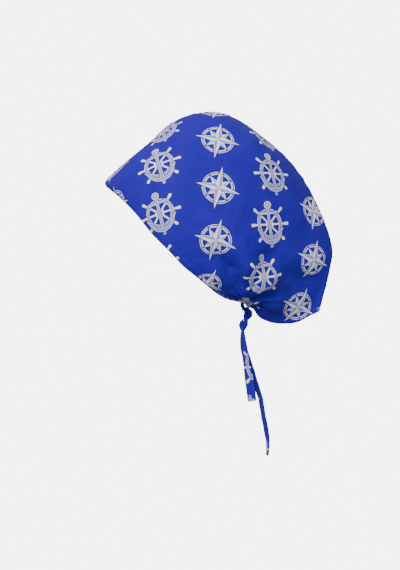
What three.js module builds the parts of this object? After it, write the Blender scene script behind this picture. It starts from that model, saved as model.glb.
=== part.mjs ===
// A tie-back surgical scrub cap in woven cotton, in its worn shape.
// Two mirrored crown panels meet at a seam that runs from the brow over the top and round the loose
// bag at the back to the nape. A turned hem lines the head opening, and its two ties are knotted
// below the bag and hang down as one short and one long tail.
// Millimetres, +Z up. The wearer looks along -Y and +X is the wearer's left. The origin is the centre
// of the head opening, halfway between the brow's edge and the nape.
import * as THREE from "three";
import { mergeVertices } from "three/addons/utils/BufferGeometryUtils.js";

// Overall sizes of the crown, measured from the origin
const frontReach = 79.5;
const backReach = 175.4;
const crownRise = 150.2;
const bagDrop = 86;
const crownWidth = 176;
const openingWidth = 152;

// Cloth and making up
const clothThickness = 1.3;
const seamGap = 0.3;
const hemWidth = 9;
const hemThickness = 1.1;
const hemGap = 0.35;

// Folds: how deep and how wide a full fold is, and how near the seam one-sided folds fade out
const foldDepth = 6;
const foldWidth = 12;
const foldFade = 24;
const pleatDepth = 3.4;
const pleatReach = 42;
const pleatPitch = 46;

// Ties: flat tape, bunched into a rounder strand where the two wind about each other in the knot
const tieWidth = 11;
const tieThickness = 1.6;
const strandDepth = 4.6;
const strandHeight = 3.4;
const strandClearance = 0.7;
const tieGap = 0.3;
const knotTurns = 2;
const knotPitch = 3.4;
const knotDrop = 5;
const shortTail = 80;
const longTail = 141;
const knotRadius = strandDepth / 2 + strandClearance;
const knotHeight = knotTurns * knotPitch * strandHeight;

// Fineness of the faceted surfaces
const panelColumns = 40;
const panelRows = 22;
const hemRows = 2;
const hemEndColumn = panelColumns - 3;
const knotSteps = 28;
const tieSides = 10;

const blue = 0x1c37b4;

// Outlines in the side view. y is a share of frontReach ahead of the origin and of backReach behind it,
// and z is a share of crownRise above it and of bagDrop below it.
const rimOutline = [
  { y: -0.97, z: 0.446 },
  { y: -0.775, z: 0.364 },
  { y: -0.546, z: 0.238 },
  { y: -0.326, z: 0.093 },
  { y: -0.108, z: -0.04 },
  { y: 0.049, z: -0.251 },
  { y: 0.124, z: -0.376 },
  { y: 0.21, z: -0.514 },
  { y: 0.33, z: -0.667 },
  { y: 0.448, z: -0.75 },
];
const browOutline = [
  { y: -0.97, z: 0.446 },
  { y: -1.0, z: 0.48 },
  { y: -0.857, z: 0.567 },
  { y: -0.632, z: 0.669 },
  { y: -0.464, z: 0.742 },
  { y: -0.34, z: 0.798 },
];
const crownOutline = [
  { y: -0.34, z: 0.798 },
  { y: -0.183, z: 0.876 },
  { y: 0.0195, z: 0.947 },
  { y: 0.122, z: 0.989 },
  { y: 0.251, z: 1.0 },
  { y: 0.354, z: 0.97 },
  { y: 0.534, z: 0.838 },
  { y: 0.739, z: 0.62 },
  { y: 0.868, z: 0.395 },
  { y: 0.971, z: 0.117 },
  { y: 1.0, z: -0.045 },
  { y: 0.977, z: -0.357 },
  { y: 0.916, z: -0.838 },
];
const bagOutline = [
  { y: 0.448, z: -0.75 },
  { y: 0.497, z: -0.8 },
  { y: 0.53, z: -0.905 },
  { y: 0.6, z: -0.977 },
  { y: 0.688, z: -1.0 },
  { y: 0.781, z: -0.974 },
  { y: 0.86, z: -0.89 },
  { y: 0.916, z: -0.838 },
];

// Where the panel is widest, along the rim and up from it, and how sharply it closes on the seam:
// 1 is round, 2 is a straight wedge. The crown's seam sharpens from wedgeStart to wedgeEnd.
const widestAlong = 0.5;
const widestUp = 0.3;
const bagEdge = 1.5;
const backEdge = 1.65;
const wedgeStart = 0.3;
const wedgeEnd = 0.7;
// How evenly the ribs are spread over the crown (1) rather than gathered at its ends (0).
const crownSpread = 0.6;

// Long soft folds: a valley (negative) or a ridge along a line in the side view, in shares as above,
// with its width and depth as shares of foldWidth and foldDepth. A fold on both sides crosses the seam.
const folds = [
  { side: "both", y0: -0.4, z0: 0.82, y1: 0.02, z1: 0.735, width: 0.8, depth: -0.15 },
  { side: "both", y0: -0.27, z0: 0.9, y1: 0.06, z1: 0.84, width: 0.9, depth: 0.05 },
  { side: "left", y0: 0.27, z0: -0.1, y1: 0.4, z1: -0.5, width: 1.1, depth: -1.0 },
  { side: "left", y0: 0.33, z0: 0.02, y1: 0.5, z1: -0.3, width: 1.3, depth: 0.45 },
  { side: "left", y0: 0.6, z0: -0.16, y1: 0.82, z1: -0.42, width: 1.3, depth: -0.7 },
  { side: "left", y0: 0.56, z0: -0.8, y1: 0.7, z1: -0.55, width: 1.0, depth: -0.55 },
  { side: "left", y0: 0.2, z0: 0.62, y1: 0.5, z1: 0.3, width: 1.6, depth: -0.25 },
  { side: "right", y0: 0.25, z0: -0.1, y1: 0.4, z1: -0.5, width: 1.1, depth: -0.9 },
  { side: "right", y0: 0.52, z0: 0.05, y1: 0.8, z1: -0.3, width: 1.4, depth: -0.7 },
  { side: "right", y0: 0.56, z0: -0.78, y1: 0.72, z1: -0.5, width: 1.0, depth: -0.5 },
  { side: "right", y0: 0.1, z0: 0.6, y1: 0.45, z1: 0.35, width: 1.6, depth: -0.3 },
];

const mix = (a, b, share) => a + (b - a) * share;
const clamp = (value, low, high) => Math.min(high, Math.max(low, value));
const smooth = (value) => {
  const share = clamp(value, 0, 1);
  return share * share * (3 - 2 * share);
};

// Side view
const sideY = (share) => share * (share < 0 ? frontReach : backReach);
const sideZ = (share) => share * (share < 0 ? bagDrop : crownRise);
const lineThrough = (rows) =>
  new THREE.CatmullRomCurve3(
    rows.map((row) => new THREE.Vector3(0, sideY(row.y), sideZ(row.z))),
    false,
    "centripetal",
  );
const rimLine = lineThrough(rimOutline);
const browLine = lineThrough(browOutline);
const crownLine = lineThrough(crownOutline);
const bagLine = lineThrough(bagOutline);
const brow = rimLine.getPoint(0);
const nape = rimLine.getPoint(1);
const crownStart = crownLine.getPoint(0);
const crownEnd = crownLine.getPoint(1);

// A point of the smooth panel before its folds. around runs from the brow (0) to the nape (1), and
// up from the rim (0) to the seam (1). In the side view it is blended from the four outlines.
function smoothPoint(around, up) {
  const s = (1 - Math.cos(Math.PI * around)) / 2;
  const t = Math.sin((Math.PI / 2) * up);
  const point = new THREE.Vector3()
    .addScaledVector(rimLine.getPointAt(s), 1 - t)
    .addScaledVector(crownLine.getPointAt(mix(s, around, crownSpread)), t)
    .addScaledVector(browLine.getPointAt(t), 1 - s)
    .addScaledVector(bagLine.getPointAt(t), s)
    .addScaledVector(brow, -(1 - s) * (1 - t))
    .addScaledVector(nape, -s * (1 - t))
    .addScaledVector(crownStart, -(1 - s) * t)
    .addScaledVector(crownEnd, -s * t);
  const aheadOfWidest = Math.max(0, widestAlong - s) / widestAlong;
  const behindWidest = Math.max(0, s - widestAlong) / (1 - widestAlong);
  const aboveWidest = Math.max(0, t - widestUp) / (1 - widestUp);
  const swell = Math.sin((Math.PI / 2) * Math.min(1, t / widestUp));
  const endEdge = mix(1, bagEdge, smooth(2 * t));
  const seamEdge = mix(1, backEdge, smooth((s - wedgeStart) / (wedgeEnd - wedgeStart)));
  const round = (share, edge) => Math.max(0, 1 - share * share) ** (edge / 2);
  const halfWidth =
    (mix(openingWidth, crownWidth, swell) / 2) *
    round(aheadOfWidest, 1) *
    round(behindWidest, endEdge) *
    round(aboveWidest, seamEdge);
  point.x = halfWidth;
  return point;
}

// The outward normal of the smooth panel, taken just inside its edges.
function smoothNormal(around, up) {
  const step = 0.004;
  const a = clamp(around, 2 * step, 1 - 2 * step);
  const u = clamp(up, step, 1 - 2 * step);
  const along = smoothPoint(a + step, u).sub(smoothPoint(a - step, u));
  const across = smoothPoint(a, u + step).sub(smoothPoint(a, u - step));
  const normal = along.cross(across).normalize();
  if (around <= 0 || around >= 1 || up >= 1) normal.setX(0).normalize();
  return normal;
}

// How far the folds and the pleats gathered at the nape lift the cloth at a point.
function foldLift(point, side) {
  const awayFromSeam = smooth(point.x / foldFade);
  let lift = 0;
  for (const fold of folds) {
    if (fold.side !== "both" && fold.side !== side) continue;
    const start = new THREE.Vector2(sideY(fold.y0), sideZ(fold.z0));
    const run = new THREE.Vector2(sideY(fold.y1), sideZ(fold.z1)).sub(start);
    const from = new THREE.Vector2(point.y, point.z).sub(start);
    const along = from.dot(run) / run.lengthSq();
    const off = from.addScaledVector(run, -clamp(along, 0, 1)).length() / (fold.width * foldWidth);
    const height = fold.depth * foldDepth * Math.exp(-off * off);
    lift += height * (fold.side === "both" ? 1 : awayFromSeam);
  }
  const fromNape = new THREE.Vector2(point.y - nape.y, point.z - nape.z);
  const distance = fromNape.length();
  const angle = THREE.MathUtils.radToDeg(Math.atan2(fromNape.y, fromNape.x));
  const grown = smooth(distance / pleatReach) * Math.exp(-((distance / pleatReach) ** 2) / 2);
  const turn = side === "left" ? 0 : 0.4;
  lift += pleatDepth * grown * awayFromSeam * Math.cos(2 * Math.PI * (angle / pleatPitch + turn));
  return lift;
}

// A point of the finished cloth, depth below its outer face.
function clothPoint(around, up, side, depth) {
  const point = smoothPoint(around, up);
  const normal = smoothNormal(around, up);
  point.addScaledVector(normal, foldLift(point, side) - depth);
  point.x = Math.max(point.x, seamGap / 2);
  if (side === "right") point.x = -point.x;
  return point;
}

// A closed solid from a grid of outer points and a grid of inner points, both rows of columns.
// Squares before turnColumn are halved along their other diagonal.
function shell(outer, inner, flip, turnColumn) {
  const rows = outer.length;
  const columns = outer[0].length;
  const positions = [...outer.flat(), ...inner.flat()].flatMap((p) => [p.x, p.y, p.z]);
  const at = (layer, row, column) => layer * rows * columns + row * columns + column;
  const faces = [];
  const quad = (a, b, c, d) => faces.push(a, b, c, a, c, d);
  for (let row = 0; row + 1 < rows; row++)
    for (let column = 0; column + 1 < columns; column++)
      for (const layer of [0, 1]) {
        const corners = [
          at(layer, row, column),
          at(layer, row, column + 1),
          at(layer, row + 1, column + 1),
          at(layer, row + 1, column),
        ];
        if (column < turnColumn) corners.push(corners.shift());
        const [a, b, c, d] = corners;
        if (layer === 0) quad(a, b, c, d);
        else quad(a, d, c, b);
      }
  for (let column = 0; column + 1 < columns; column++) {
    quad(at(0, 0, column), at(1, 0, column), at(1, 0, column + 1), at(0, 0, column + 1));
    const top = rows - 1;
    quad(at(0, top, column + 1), at(1, top, column + 1), at(1, top, column), at(0, top, column));
  }
  for (let row = 0; row + 1 < rows; row++) {
    quad(at(0, row + 1, 0), at(1, row + 1, 0), at(1, row, 0), at(0, row, 0));
    const end = columns - 1;
    quad(at(0, row, end), at(1, row, end), at(1, row + 1, end), at(0, row + 1, end));
  }
  if (flip) faces.reverse();
  const geometry = new THREE.BufferGeometry();
  geometry.setAttribute("position", new THREE.Float32BufferAttribute(positions, 3));
  geometry.setIndex(faces);
  return mergeVertices(geometry, 1e-4);
}

// How far up a rib lies a given distance from the rim.
function upAtDistance(around, distance) {
  const start = smoothPoint(around, 0);
  let low = 0;
  let high = 0.5;
  for (let pass = 0; pass < 24; pass++) {
    const middle = (low + high) / 2;
    if (smoothPoint(around, middle).distanceTo(start) < distance) low = middle;
    else high = middle;
  }
  return low;
}

// How far up the panel a row of the grid lies: the first rows run along the hem, and the others are
// spread from there to the seam.
function upAt(row, around) {
  if (row <= hemRows) return upAtDistance(around, (hemWidth * row) / hemRows);
  const hemUp = upAtDistance(around, hemWidth);
  const share = (row - hemRows) / (panelRows - hemRows);
  return mix(hemUp, 1, share);
}

function crownPanel(side) {
  const grid = (depth) =>
    Array.from({ length: panelRows + 1 }, (_, row) =>
      Array.from({ length: panelColumns + 1 }, (_, column) => {
        const around = column / panelColumns;
        return clothPoint(around, upAt(row, around), side, depth);
      }),
    );
  return shell(grid(0), grid(clothThickness), side === "right", 0);
}

// The turned hem: one band inside both panels, from the left end at the nape round the brow.
function hemCasing() {
  const stations = [];
  for (let column = hemEndColumn; column >= -hemEndColumn; column--) {
    stations.push({ around: Math.abs(column) / panelColumns, side: column >= 0 ? "left" : "right" });
  }
  const layer = (depth) =>
    Array.from({ length: hemRows + 1 }, (_, row) =>
      stations.map(({ around, side }) => {
        const point = clothPoint(around, upAt(row, around), side, depth);
        if (around === 0) point.x = 0;
        return point;
      }),
    );
  const outerDepth = clothThickness + hemGap;
  return shell(layer(outerDepth), layer(outerDepth + hemThickness), true, hemEndColumn);
}

// Ties in the side view and from behind: x, y and z in shares of the tail's drop below the knot for z,
// and of tieWidth for x and y. turn is the angle in degrees from facing front or back to facing the
// side, and fullness goes from the flat tape (0) to the bunched strand of the knot (1).
const shortTailRows = [
  { drop: 0.05, x: 0.27, y: -0.09, turn: 4, fullness: 0.8 },
  { drop: 0.1, x: 0.25, y: -0.15, turn: 6, fullness: 0.4 },
  { drop: 0.17, x: 0.2, y: -0.15, turn: 10, fullness: 0.1 },
  { drop: 0.26, x: 0.2, y: -0.06, turn: 16, fullness: 0 },
  { drop: 0.38, x: 0.24, y: 0.08, turn: 26, fullness: 0 },
  { drop: 0.52, x: 0.32, y: 0.34, turn: 42, fullness: 0 },
  { drop: 0.7, x: 0.4, y: 0.6, turn: 56, fullness: 0 },
  { drop: 0.85, x: 0.44, y: 0.8, turn: 62, fullness: 0 },
  { drop: 1, x: 0.46, y: 0.94, turn: 60, fullness: 0 },
];
const longTailRows = [
  { drop: 0.028, x: -0.27, y: 0.09, turn: 2, fullness: 0.8 },
  { drop: 0.057, x: -0.25, y: 0.14, turn: 2, fullness: 0.4 },
  { drop: 0.097, x: -0.2, y: 0.13, turn: 4, fullness: 0.1 },
  { drop: 0.148, x: -0.18, y: 0.2, turn: 6, fullness: 0 },
  { drop: 0.21, x: -0.2, y: 0.38, turn: 10, fullness: 0 },
  { drop: 0.3, x: -0.26, y: 0.84, turn: 14, fullness: 0 },
  { drop: 0.42, x: -0.34, y: 1.4, turn: 12, fullness: 0 },
  { drop: 0.54, x: -0.38, y: 1.84, turn: 12, fullness: 0 },
  { drop: 0.66, x: -0.4, y: 2.06, turn: 24, fullness: 0 },
  { drop: 0.8, x: -0.42, y: 2.4, turn: 26, fullness: 0 },
  { drop: 0.91, x: -0.42, y: 2.56, turn: 18, fullness: 0 },
  { drop: 1, x: -0.42, y: 2.5, turn: 10, fullness: 0 },
];
// The way out of the hem's end: how far on round the rim in shares of a half round, how far up from
// the rim in shares of hemWidth, and how deep inside the cloth in shares of strandHeight.
const wayOut = { on: 0.013, up: 0.42, depth: 0.5 };
// Then the tie turns round the rim's edge, in shares of knotRadius to the side and of strandHeight
// behind and above the nape.
const roundTheRim = [
  { x: 3.9, y: -0.6, z: 1.3 },
  { x: 2.93, y: -1.2, z: 0.26 },
];
// Then it bends down into the knot, in shares of knotRadius and, behind and below the nape, of
// knotHeight.
const bend = { x: 1.8, y: -0.11, z: -0.026 };
// The line that the knot winds about, behind the nape (y) and below the knot's top (drop).
const knotRows = [
  { y: 0.07, drop: 0 },
  { y: 0.11, drop: 0.2 },
  { y: 0.04, drop: 0.42 },
  { y: -0.12, drop: 0.72 },
  { y: -0.156, drop: 1 },
];
const knotTop = nape.z - knotDrop;
const knotLine = new THREE.CatmullRomCurve3(
  knotRows.map((row) => new THREE.Vector3(0, nape.y + row.y * knotHeight, knotTop - row.drop * knotHeight)),
);

// A tie from its place in the hem through the knot to its free end: closed sections along a line,
// each with its own width, thickness and turn.
function tie(side, rows, tail) {
  const sign = side === "left" ? 1 : -1;
  const stations = [];
  const put = (centre, wide, fullness) => stations.push({ centre, wide, fullness });
  const around = hemEndColumn / panelColumns + wayOut.on;
  const depth = clothThickness + tieGap + wayOut.depth * strandHeight;
  const start = clothPoint(around, upAtDistance(around, wayOut.up * hemWidth), side, depth);
  put(start, start.clone().sub(clothPoint(around, 0, side, depth)).normalize(), 0.9);
  for (const row of roundTheRim) {
    const y = nape.y + row.y * strandHeight;
    const z = nape.z + row.z * strandHeight;
    put(new THREE.Vector3(sign * row.x * knotRadius, y, z), new THREE.Vector3(-sign, 0, 0), 0.9);
  }
  const bendPoint = new THREE.Vector3(
    sign * bend.x * knotRadius,
    nape.y + bend.y * knotHeight,
    knotTop - bend.z * knotHeight,
  );
  put(bendPoint, new THREE.Vector3(-sign, 0, 1).normalize(), 0.9);
  for (let step = 0; step <= knotSteps; step++) {
    const share = step / knotSteps;
    const angle = 2 * Math.PI * knotTurns * share + (side === "left" ? 0 : Math.PI);
    const out = new THREE.Vector3(Math.cos(angle), Math.sin(angle), 0);
    const centre = knotLine.getPoint(share).addScaledVector(out, knotRadius);
    put(centre, out.multiplyScalar(-1), 1);
  }
  const knotEnd = knotLine.getPoint(1);
  for (const row of rows) {
    const turn = THREE.MathUtils.degToRad(row.turn);
    const centre = new THREE.Vector3(row.x * tieWidth, row.y * tieWidth, -row.drop * tail).add(knotEnd);
    put(centre, new THREE.Vector3(-sign * Math.cos(turn), -sign * Math.sin(turn), 0), row.fullness);
  }
  const line = new THREE.CatmullRomCurve3(stations.map((station) => station.centre));
  const last = stations.length - 1;
  const rings = stations.map(({ centre, wide, fullness }, index) => {
    const tangent = line.getTangent(index / last);
    const across = wide.clone().addScaledVector(tangent, -wide.dot(tangent)).normalize();
    const thick = tangent.clone().cross(across);
    const halfWidth = mix(tieWidth, strandDepth, fullness) / 2;
    const halfThickness = mix(tieThickness, strandHeight, fullness) / 2;
    const squareness = mix(0.4, 0.9, fullness);
    const bulge = (value) => Math.sign(value) * Math.abs(value) ** squareness;
    return Array.from({ length: tieSides }, (_, corner) => {
      const angle = (2 * Math.PI * (corner + 0.5)) / tieSides;
      return centre
        .clone()
        .addScaledVector(across, halfWidth * bulge(Math.cos(angle)))
        .addScaledVector(thick, halfThickness * bulge(Math.sin(angle)));
    });
  });
  const points = [stations[0].centre, ...rings.flat(), stations[last].centre];
  const positions = points.flatMap((p) => [p.x, p.y, p.z]);
  const at = (ring, corner) => 1 + ring * tieSides + (corner % tieSides);
  const end = 1 + rings.length * tieSides;
  const faces = [];
  for (let corner = 0; corner < tieSides; corner++) {
    faces.push(0, at(0, corner + 1), at(0, corner));
    faces.push(end, at(last, corner), at(last, corner + 1));
    for (let ring = 0; ring < last; ring++) {
      faces.push(at(ring, corner), at(ring, corner + 1), at(ring + 1, corner + 1));
      faces.push(at(ring, corner), at(ring + 1, corner + 1), at(ring + 1, corner));
    }
  }
  const geometry = new THREE.BufferGeometry();
  geometry.setAttribute("position", new THREE.Float32BufferAttribute(positions, 3));
  geometry.setIndex(faces);
  return geometry;
}

const group = new THREE.Group();
const cloth = new THREE.MeshStandardMaterial({ color: blue, roughness: 0.85, metalness: 0 });
function add(name, geometry) {
  const mesh = new THREE.Mesh(geometry, cloth.clone());
  mesh.name = name;
  group.add(mesh);
}
add("crown_left", crownPanel("left"));
add("crown_right", crownPanel("right"));
add("hem_casing", hemCasing());
add("left_tie", tie("left", shortTailRows, shortTail));
add("right_tie", tie("right", longTailRows, longTail));

export default group;
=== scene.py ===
import math

import bpy
import numpy as np
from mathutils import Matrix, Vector


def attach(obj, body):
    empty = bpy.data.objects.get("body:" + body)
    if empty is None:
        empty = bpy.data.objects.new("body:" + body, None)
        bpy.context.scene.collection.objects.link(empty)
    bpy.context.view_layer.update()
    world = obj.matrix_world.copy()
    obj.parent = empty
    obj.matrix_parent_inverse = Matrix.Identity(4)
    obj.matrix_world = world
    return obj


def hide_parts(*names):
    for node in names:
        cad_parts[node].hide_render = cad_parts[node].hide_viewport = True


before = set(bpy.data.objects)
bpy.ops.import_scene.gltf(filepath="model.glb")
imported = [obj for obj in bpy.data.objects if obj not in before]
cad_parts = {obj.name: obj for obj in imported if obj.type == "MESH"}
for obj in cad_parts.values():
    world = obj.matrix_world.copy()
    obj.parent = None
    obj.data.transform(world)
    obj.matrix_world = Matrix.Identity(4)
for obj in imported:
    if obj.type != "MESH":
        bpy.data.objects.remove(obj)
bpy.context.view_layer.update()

# Crown panels. Each is one piece of printed cotton poplin, cut in profile and sewn to its mirror
# image along the seam from the brow over the top and round the bag. Worn, the cloth lies smooth
# over the crown, sags behind it and is drawn into pleats at the nape.
FRONT_REACH, BACK_REACH = 79.5, 175.4  # mm, as are all sizes below unless a line says metres
CROWN_RISE, BAG_DROP = 150.2, 86.0
CROWN_WIDTH, OPENING_WIDTH = 176.0, 152.0
CLOTH_THICKNESS = 0.9
SEAM_GAP = 0.04
HEM_WIDTH = 9.0
FOLD_DEPTH, FOLD_WIDTH, FOLD_FADE = 6.0, 12.0, 24.0
PLEAT_DEPTH, PLEAT_REACH, PLEAT_PITCH = 3.4, 42.0, 46.0  # the pitch in degrees round the nape
# Where a panel is widest, in shares of its length and height. An edge of 1 is round like a ball's, and
# a larger one is drawn to a wedge, as behind the crown, from WEDGE_START to WEDGE_END of the length.
WIDEST_ALONG, WIDEST_UP = 0.5, 0.3
BAG_EDGE, BACK_EDGE = 1.5, 1.65
WEDGE_START, WEDGE_END = 0.3, 0.7
CROWN_SPREAD = 0.6  # how evenly the ribs of the mesh meet the seam

# Side view outlines: y in reaches ahead of or behind the origin, z in rises above or drops below it.
RIM_OUTLINE = [
    (-0.97, 0.446), (-0.775, 0.362), (-0.546, 0.236), (-0.326, 0.091), (-0.108, -0.042),
    (0.049, -0.254), (0.124, -0.38), (0.21, -0.522), (0.33, -0.675), (0.448, -0.75),
]
BROW_OUTLINE = [
    (-0.97, 0.446), (-1.0, 0.48), (-0.857, 0.567), (-0.632, 0.669), (-0.464, 0.742), (-0.34, 0.798),
]
CROWN_OUTLINE = [
    (-0.34, 0.798), (-0.183, 0.876), (0.0195, 0.947), (0.122, 0.989), (0.251, 1.0), (0.354, 0.97),
    (0.534, 0.838), (0.739, 0.62), (0.868, 0.395), (0.971, 0.117), (1.0, -0.045), (0.977, -0.357),
    (0.916, -0.838),
]
BAG_OUTLINE = [
    (0.448, -0.75), (0.497, -0.8), (0.53, -0.905), (0.6, -0.977), (0.688, -1.0), (0.781, -0.974),
    (0.86, -0.89), (0.916, -0.838),
]
# Long soft folds: which side, from (y, z) to (y, z) in the outlines' shares, width, depth.
FOLDS = [
    ("both", -0.38, 0.8, 0.04, 0.73, 0.8, -0.15),
    ("both", -0.27, 0.9, 0.06, 0.84, 0.9, 0.05),
    ("left", 0.27, -0.1, 0.4, -0.5, 1.0, -1.1),
    ("left", 0.26, -0.17, 0.35, -0.3, 0.45, -0.7),
    ("left", 0.55, 0.26, 0.78, 0.03, 1.3, -0.75),
    ("left", 0.33, 0.02, 0.5, -0.3, 1.3, 0.5),
    ("left", 0.6, -0.16, 0.82, -0.42, 1.0, -1.1),
    ("left", 0.5, -0.85, 0.62, -0.68, 0.55, -0.5),
    ("left", 0.47, -0.72, 0.57, -0.62, 0.5, -0.4),
    ("left", 0.2, 0.62, 0.5, 0.3, 1.6, -0.25),
    ("right", 0.25, -0.1, 0.4, -0.5, 1.1, -0.9),
    ("right", 0.52, 0.05, 0.8, -0.3, 1.4, -0.7),
    ("right", 0.56, -0.78, 0.72, -0.5, 1.0, -0.5),
    ("right", 0.1, 0.6, 0.45, 0.35, 1.6, -0.3),
]


def mix(a, b, share):
    return a + (b - a) * share


def smooth(value):
    share = np.clip(value, 0, 1)
    return share * share * (3 - 2 * share)


def side_y(share):
    return share * (FRONT_REACH if share < 0 else BACK_REACH)


def side_z(share):
    return share * (BAG_DROP if share < 0 else CROWN_RISE)


def spline(points, steps=24):
    """A smooth centripetal curve through points, as many points along it."""
    p = [np.array(q, float) for q in points]
    p = [2 * p[0] - p[1]] + p + [2 * p[-1] - p[-2]]
    t = np.linspace(0, 1, steps, endpoint=False)[:, None]
    out = []
    for a, b, c, d in zip(p, p[1:], p[2:], p[3:]):
        ab, bc, cd = (max(1e-6, np.linalg.norm(v)) ** 0.5 for v in (b - a, c - b, d - c))
        start = ((b - a) / ab - (c - a) / (ab + bc) + (c - b) / bc) * bc
        end = ((c - b) / bc - (d - b) / (bc + cd) + (d - c) / cd) * bc
        square, cube = 3 * (c - b) - 2 * start - end, 2 * (b - c) + start + end
        out.append(b + start * t + square * t**2 + cube * t**3)
    return np.vstack([*out, p[-2][None]])


def run_along(line):
    """The length along a line of points, at each point."""
    return np.concatenate([[0], np.cumsum(np.linalg.norm(np.diff(line, axis=0), axis=1))])


def evenly(line):
    """Makes a function that gives the point at a share of the line's length."""
    run = run_along(line)
    return lambda share: np.stack([np.interp(share * run[-1], run, axis) for axis in line.T], -1)


rim_at, brow_at, crown_at, bag_at = (
    evenly(spline([(side_y(y), side_z(z)) for y, z in outline]))
    for outline in (RIM_OUTLINE, BROW_OUTLINE, CROWN_OUTLINE, BAG_OUTLINE)
)
brow, nape, crown_start, crown_end = rim_at(0.0), rim_at(1.0), crown_at(0.0), crown_at(1.0)


def smooth_point(around, up):
    """The left panel before its folds: around from brow to nape and up from rim to seam, 0 to 1."""
    s = (1 - np.cos(np.pi * around)) / 2
    t = np.sin(np.pi / 2 * up)
    s1, t1 = s[..., None], t[..., None]
    yz = (
        rim_at(s) * (1 - t1) + crown_at(mix(s, around, CROWN_SPREAD)) * t1
        + brow_at(t) * (1 - s1) + bag_at(t) * s1
        - brow * (1 - s1) * (1 - t1) - nape * s1 * (1 - t1)
        - crown_start * (1 - s1) * t1 - crown_end * s1 * t1
    )
    ahead = np.maximum(0, WIDEST_ALONG - s) / WIDEST_ALONG
    behind = np.maximum(0, s - WIDEST_ALONG) / (1 - WIDEST_ALONG)
    above = np.maximum(0, t - WIDEST_UP) / (1 - WIDEST_UP)
    swell = np.sin(np.pi / 2 * np.minimum(1, t / WIDEST_UP))
    end_edge = mix(1, BAG_EDGE, smooth(2 * t))
    seam_edge = mix(1, BACK_EDGE, smooth((s - WEDGE_START) / (WEDGE_END - WEDGE_START)))
    x = mix(OPENING_WIDTH, CROWN_WIDTH, swell) / 2
    for share, edge in ((ahead, 1), (behind, end_edge), (above, seam_edge)):
        x = x * np.maximum(0, 1 - share * share) ** (edge / 2)
    return np.concatenate([x[..., None], yz], -1)


def smooth_normal(around, up):
    step = 0.004
    a, u = np.clip(around, 2 * step, 1 - 2 * step), np.clip(up, step, 1 - 2 * step)
    along = smooth_point(a + step, u) - smooth_point(a - step, u)
    across = smooth_point(a, u + step) - smooth_point(a, u - step)
    normal = np.cross(along, across)
    flat = (around <= 0) | (around >= 1) | (up >= 1)
    normal[..., 0] = np.where(flat, 0, normal[..., 0])
    return normal / np.linalg.norm(normal, axis=-1, keepdims=True)


def waves(u, v, seed, rows):
    """Soft uneven ripples: sums of sines, each row a wavelength in mm and a height in mm."""
    pick = np.random.default_rng(seed)
    total = np.zeros_like(u)
    for length, height in rows:
        for _ in range(5):
            turn, phase = pick.uniform(0, 2 * np.pi, 2)
            stretch = pick.uniform(0.75, 1.3)
            run = (u * np.cos(turn) + v * np.sin(turn)) / (length * stretch)
            total += height / 2.2 * np.sin(2 * np.pi * run + phase)
    return total


def round_nape(point):
    """In the side view, the distance in mm from the nape and the angle round it in degrees."""
    off = point[..., 1:] - nape
    return np.linalg.norm(off, axis=-1), np.degrees(np.arctan2(off[..., 1], off[..., 0]))


def fold_lift(point, side):
    """How far the long folds and the pleats at the nape lift the cloth."""
    away = smooth(point[..., 0] / FOLD_FADE)
    lift = np.zeros(point.shape[:-1])
    for which, y0, z0, y1, z1, width, depth in FOLDS:
        if which not in ("both", side):
            continue
        start = np.array([side_y(y0), side_z(z0)])
        run = np.array([side_y(y1), side_z(z1)]) - start
        off = point[..., 1:] - start
        along = np.clip(off @ run / (run @ run), 0, 1)
        off = np.linalg.norm(off - along[..., None] * run, axis=-1) / (width * FOLD_WIDTH)
        lift += depth * FOLD_DEPTH * np.exp(-off * off) * (1 if which == "both" else away)
    distance, angle = round_nape(point)
    grown = smooth(distance / PLEAT_REACH) * np.exp(-((distance / PLEAT_REACH) ** 2) / 2)
    turn = 0 if side == "left" else 0.4
    return lift + PLEAT_DEPTH * grown * away * np.cos(2 * np.pi * (angle / PLEAT_PITCH + turn))


def ridge(distance, at, width):
    """1 where a distance is the one given, fading to nothing on both sides of it."""
    return np.exp(-(((distance - at) / width) ** 2))


# Heights and widths in mm. Gathers at the nape, with pitches in degrees; the dip of the hem's stitches
# and the swell of its fold; the ridge of the seam's allowances and the groove of its stitches.
GATHER_HEIGHT, GATHER_RISE, GATHER_REACH, GATHER_PITCHES = 1.3, 14.0, 34.0, (17.0, 9.5)
HEM_DIP, HEM_DIP_WIDTH, HEM_SWELL, HEM_SWELL_WIDTH, HEM_PUCKER_WIDTH = 0.5, 1.1, 0.25, 3.0, 7.0
SEAM_RIDGE, SEAM_RIDGE_AT, SEAM_RIDGE_WIDTH, SEAM_GROOVE, SEAM_GROOVE_WIDTH = 0.9, 3.0, 4.0, 0.4, 0.9
HEM_PUCKERS, SEAM_PUCKERS = [(11, 0.28), (23, 0.3)], [(9, 0.2), (19, 0.25)]
SOFT_RIPPLES, RIPPLE_FADE = [(62, 0.9), (31, 0.45)], 20.0
FINE_SEEDS = {"left": 11, "right": 37}


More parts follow.
